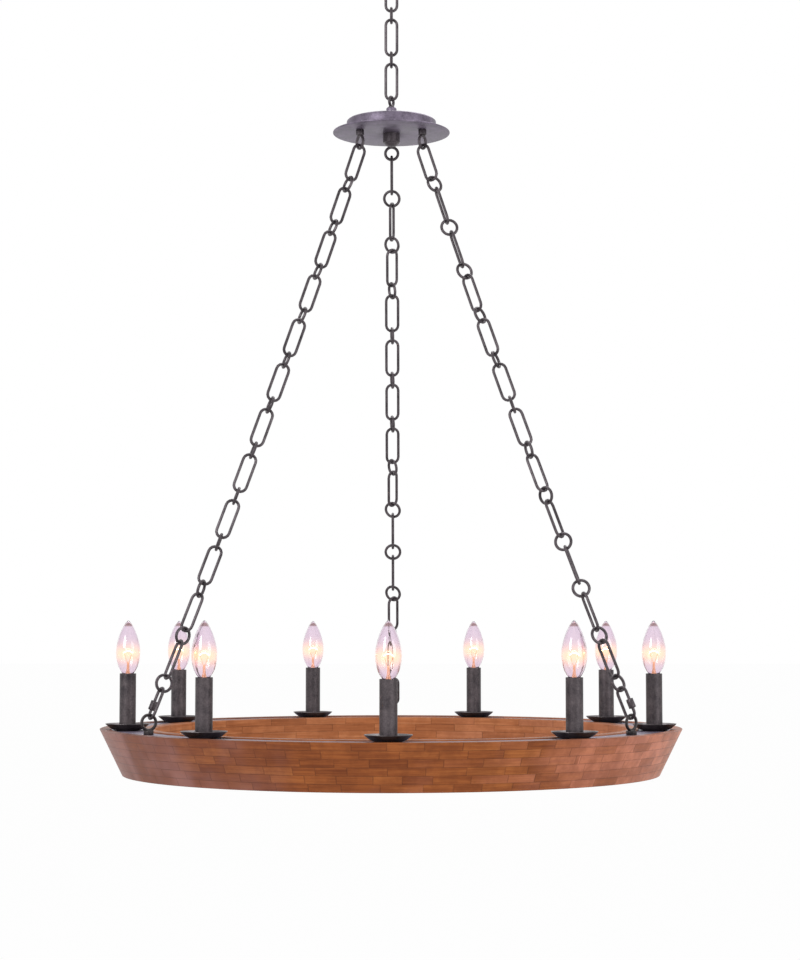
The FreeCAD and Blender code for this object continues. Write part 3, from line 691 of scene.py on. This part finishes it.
# %% Eyebolts
BOLT_EYE, BOSS_HEIGHT, SHANK_LENGTH = 27.4 * MM, 7 * MM, 16 * MM
BOLT_TURNS = (30, 225, 90)
base_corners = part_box("bulb_1_base")
CIRCLE = -(base_corners[0].y + base_corners[1].y) / 2
bolt_top = band_high + BOSS_HEIGHT
eye_middle = bolt_top + BOLT_EYE / 2 - WIRE / 2
parts = []
for bearing, face in zip(THIRDS, BOLT_TURNS):
    spot = Matrix.Rotation(math.radians(bearing), 4, "Z") @ Vector((0, -CIRCLE, 0))
    place = Matrix.Translation(spot) @ Matrix.Rotation(math.radians(face), 4, "Z")
    lift = Matrix.Translation((0, 0, eye_middle))
    eye = moved(wire_loop(BOLT_EYE, BOLT_EYE, WIRE), lift @ Matrix.Rotation(QUARTER, 4, "Y"))
    outline = [(0, band_high)] + corners_from(band_high, (8.2, 0), (8.2, 6.4), (7.4, 7)) + [(0, bolt_top)]
    boss = turned(outline, 6, edge=0.5 * MM)
    shank = turned(plain(4 * MM, band_high - SHANK_LENGTH, band_high), 20)
    parts += [moved(part, place) for part in (eye, boss, shank)]
piece("eyebolt_rings", joined(parts), eye_bronze, "ring", ["eyebolts"])
print("eyebolts", len(THIRDS))

# %% [markdown]
# Nine candles stand on the band: a dark dish with a curled lip, a tall metal tube over the lamp holder, and
# the holder itself. All are turned on their own axis, and each kind is one piece, as it is in the model.

# %% Candle dishes, covers and holders
CANDLES = 9
COVER_R, COVER_BORE = 12.7 * MM, 11.7 * MM
HOLDER_R, HOLDER_LENGTH, STEM_R = 9.5 * MM, 44 * MM, 4.8 * MM
bearings = [math.radians(360 / CANDLES * n) for n in range(CANDLES)]
spots = [(CIRCLE * math.sin(bearing), -CIRCLE * math.cos(bearing)) for bearing in bearings]
saddle = band_high + 1.6 * MM
cover_top = heights("sleeves")[1]
holder_top = cover_top - 3 * MM
dish = corners_from(
    band_high, (5.3, 0), (15, 0), (20, 0.9), (26, 3.6), (31, 7.4), (34.2, 10.4), (34.0, 11), (33.2, 10.9),
    (29.5, 8), (24.5, 4.6), (19, 2.3), (15, 1.6), (5.3, 1.6),
)
cover = [(COVER_BORE, saddle), (COVER_R, saddle)]
cover += corners_from(cover_top, (12.7, -0.3), (12.4, 0), (11.9, 0), (11.7, -0.3))
holder = [(0, band_low - 9 * MM), (STEM_R, band_low - 9 * MM), (STEM_R, holder_top - HOLDER_LENGTH)]
holder += [(HOLDER_R, holder_top - HOLDER_LENGTH), (HOLDER_R, holder_top)]
holder += corners_from(holder_top, (6.1, 0), (6.1, -22.5), (0, -22.5))
dishes = joined([turned(dish, 48, spot) for spot in spots])
covers = joined([turned(cover, 32, spot) for spot in spots])
holders = joined([turned(holder, 24, spot) for spot in spots])
piece("candle_dishes", dishes, dish_bronze_painted_light, "ring", ["bobeches"])
piece("candle_covers", covers, candle_bronze, "ring", ["sleeves"])
holder_black = patina("holder_moulding", rgb(0.02, 0.02, 0.02), rgb(0.035, 0.034, 0.033), 0.6)
piece("lamp_holders", holders, holder_black, "ring", ["sockets"])
print("candles", len(spots))

# %% [markdown]
# The lamps are lit and clear. The glass is a thin wall with a faint lilac tint that is darker edge-on, where
# a ray passes more glass. A soft warm glow on the wall itself stands for the light that the glass scatters
# round the filament, and a dull band near the tip is a painted reflection of the thick glass where it was
# drawn off. The glass mount and wires glow faintly too, as painted light from the filament.

# %% Lamp finishes
glass_low, glass_high = heights("bulb_1_glass")
glow_height = glass_low + 34 * MM
glass = Finish("lamp_glass", Roughness=0.015, IOR=1.45, Transmission_Weight=1.0, Emission_Strength=0.1)
rise = (glass.place()[3] - glass_low) / (glass_high - glass_low)
edge_on = glass.node("ShaderNodeLayerWeight", None, {"Blend": 0.4}, out="Facing")
off_glow = (rise - 0.39) * 6.5
warm = (off_glow * off_glow * -1.0).math("EXPONENT")
lilac = glass.blend(edge_on * edge_on, rgb(0.89, 0.80, 0.88), rgb(0.50, 0.36, 0.44))
lit = glass.blend(warm * (1.0 - edge_on) * 0.9, lilac, rgb(1.0, 0.87, 0.75))
# painted reflection: a dull brownish band near the tip, for the thick drawn-off glass seen through the wall
tip_painted_reflection = glass.steps(rise, (0.885, grey(0.0)), (0.91, grey(0.75)), (0.945, grey(0.75)), (0.965, grey(0.0)))
glass.set(Base_Color=glass.blend(tip_painted_reflection, lit, rgb(0.50, 0.36, 0.36)))
glass.set(Emission_Color=glass.blend(warm, grey(0.0), rgb(1.0, 0.42, 0.16)))
brass = Finish("brass_shell", Metallic=1.0, Roughness=0.3, Base_Color=rgb(0.62, 0.45, 0.2))
glowing = {"Base_Color": rgb(1, 0.6, 0.3), "Emission_Color": rgb(1.0, 0.70, 0.38), "Emission_Strength": 20.0}
filament = Finish("lit_filament", **glowing)
# painted light: the glass mount and wires glow faintly, for the filament's light falling on them
painted_filament_light = {"Base_Color": rgb(0.62, 0.36, 0.24), "Emission_Color": rgb(1.0, 0.50, 0.24), "Emission_Strength": 0.45}
mount_glass_painted_glow = Finish("lamp_mount_painted_glow", Roughness=0.1, **painted_filament_light)
print("glow at", round(glow_height, 4))

# %% [markdown]
# A lamp has a clear envelope that is widest at two fifths of its height and pointed at the top, a screw
# shell, a flared glass mount, two wires and a bent filament. The envelope is two turned walls joined at the
# neck. What is inside the glass turns with it.

# %% Lamps
BULB_R, BULB_H, GLASS_WALL = 18.75 * MM, glass_high - glass_low, 1.0 * MM
THREADS, PITCH, CREST, ROOT = 4, 2.5, 5.9, 5.4
FILAMENT_R, FILAMENT_BEND, FILAMENT_TURN = 0.55 * MM, 6 * MM, math.radians(98)
SUPPORT_R = 0.35 * MM
envelope = [
    (0.0, 0.42), (0.03, 0.47), (0.08, 0.63), (0.15, 0.79), (0.23, 0.90), (0.32, 0.975), (0.42, 1.0), (0.52, 0.965),
    (0.62, 0.88), (0.71, 0.76), (0.79, 0.63), (0.86, 0.48), (0.92, 0.33), (0.96, 0.2), (0.99, 0.08), (1.0, 0.0),
]
outside = [(share * BULB_R, glass_low + part * BULB_H) for part, share in envelope]
inside = [
    (max(share * BULB_R - GLASS_WALL, 0), glass_low + part * (BULB_H - GLASS_WALL)) for part, share in envelope
]
shell_top = heights("bulb_1_base")[1] - 34 * MM
shell = corners_from(shell_top, (0, -20), (2.7, -20), (5.4, -17))
for thread in range(THREADS):
    shell += corners_from(shell_top, (CREST, PITCH * thread - 15), (ROOT, PITCH * thread - 13.8))
shell += corners_from(shell_top, (5.95, -4), (5.95, 0), (0, 0))
mount = corners_from(glass_low, (0, 1), (4, 1), (2.2, 9), (1.6, 20), (0, 21))


def support(foot, tip):
    """Straight wire between two points."""
    wire = bmesh.new()
    size = {"radius1": SUPPORT_R, "radius2": SUPPORT_R, "depth": (tip - foot).length}
    bmesh.ops.create_cone(wire, cap_ends=True, segments=8, **size)
    lean = (tip - foot).to_track_quat("Z", "Y").to_matrix().to_4x4()
    return moved(wire, Matrix.Translation((foot + tip) / 2) @ lean)


def bent_filament(x, y):
    """Wire bent over the tips of its two supports."""
    coil = bmesh.new()
    start = Matrix.Translation((x - 7 * MM, y, glow_height)) @ Matrix.Rotation(QUARTER, 4, "Y")
    section, rim = wire_section(coil, FILAMENT_R, start, 8)
    arc = {"cent": (x, y, glow_height - FILAMENT_BEND), "axis": (0, 1, 0), "angle": FILAMENT_TURN}
    bmesh.ops.spin(coil, geom=section + rim, steps=12, **arc)
    return capped(coil)


for number, (x, y) in enumerate(spots, start=1):
    glass_body, base_body = f"bulb_{number}_glass", f"bulb_{number}_base"
    bulb = turned(outside + inside[::-1], 40, (x, y))
    piece(f"lamp_{number}_glass", bulb, glass.material, glass_body, [glass_body])
    piece(f"lamp_{number}_shell", turned(shell, 24, (x, y)), brass.material, base_body, [base_body])
    flare = turned(mount, 16, (x, y), closed=False)
    piece(f"lamp_{number}_mount", flare, mount_glass_painted_glow.material, glass_body)
    feet = [Vector((x + side * 1.1 * MM, y, glass_low + 19 * MM)) for side in (-1, 1)]
    tips = [Vector((x + side * 6.2 * MM, y, glow_height)) for side in (-1, 1)]
    wires = joined([support(foot, tip) for foot, tip in zip(feet, tips)])
    piece(f"lamp_{number}_wires", wires, mount_glass_painted_glow.material, glass_body)
    piece(f"lamp_{number}_filament", bent_filament(x, y), filament.material, glass_body)
print("lamps", len(spots))

# %% [markdown]
# A white studio: large soft lamps and an even world light the object at about the level where a colour
# renders as written. What the camera, a gloss or the glass sees behind the object is plain white. The floor
# is seen from above only, so that it doesn't hide the object from a camera below it.

# %% Studio
WORLD_LIGHT = 0.62
FLOOR_DEPTH, FLOOR_SIZE, FLOOR_WHITE = 0.9, 60, 0.97


def seen_ray(nodes):
    """1 for a ray that shows something to the camera, in a gloss or through glass, and 0 for any other."""
    rays = nodes.node("ShaderNodeLightPath")
    by_eye, in_gloss, through = rays.beside("Is Camera Ray", "Is Glossy Ray", "Is Transmission Ray")
    return (by_eye + in_gloss + through).math("MINIMUM", 1.0)


def soft_lamp(name, place, aim, size, power):
    lamp = bpy.data.lights.new(name, "AREA")
    lamp.shape = "DISK"
    lamp.size = size
    lamp.energy = power
    made = bpy.data.objects.new(name, lamp)
    made.location = place
    made.rotation_euler = (Vector(aim) - Vector(place)).to_track_quat("-Z", "Y").to_euler()
    made.visible_camera = False
    scene.collection.objects.link(made)


world = bpy.data.worlds.new("studio")
scene.world = world
world.use_nodes = True
surround = Nodes(world.node_tree)
background = world.node_tree.nodes["Background"]
surround.feed(background.inputs["Color"], grey(1.0))
surround.feed(background.inputs["Strength"], seen_ray(surround) * (1.0 - WORLD_LIGHT) + WORLD_LIGHT)

middle = (0, 0, ring_high + 0.3)
soft_lamp("key", (-2.2, -3.0, ring_high + 1.6), middle, 1.8, 60)
soft_lamp("fill", (2.6, -2.4, ring_high + 0.8), middle, 2.2, 34)
soft_lamp("top", (0.4, 1.2, ring_high + 2.6), middle, 2.2, 40)

floor_mesh = bpy.data.meshes.new("studio_floor")
bm = bmesh.new()
level = Matrix.Translation((0, 0, ring_low - FLOOR_DEPTH))
bmesh.ops.create_grid(bm, x_segments=1, y_segments=1, size=FLOOR_SIZE, matrix=level)
bm.to_mesh(floor_mesh)
bm.free()
studio_floor = bpy.data.objects.new("studio_floor", floor_mesh)
scene.collection.objects.link(studio_floor)
paint = Finish("floor_paint", Roughness=0.9, Base_Color=grey(0.92), Specular_IOR_Level=0.0)
white = paint.node("ShaderNodeEmission", None, {"Color": grey(1.0), "Strength": 1.0})
matt = Amount(paint, paint.shader.outputs[0])
upper = paint.node("ShaderNodeMixShader", None, {0: seen_ray(paint) * FLOOR_WHITE, 1: matt, 2: white})
from_below = paint.node("ShaderNodeNewGeometry", out="Backfacing")
clear = paint.node("ShaderNodeBsdfTransparent")
one_sided = paint.node("ShaderNodeMixShader", None, {0: from_below, 1: upper, 2: clear})
paint.feed(paint.tree.nodes["Material Output"].inputs["Surface"], one_sided)
floor_mesh.materials.append(paint.material)
print("studio ready")
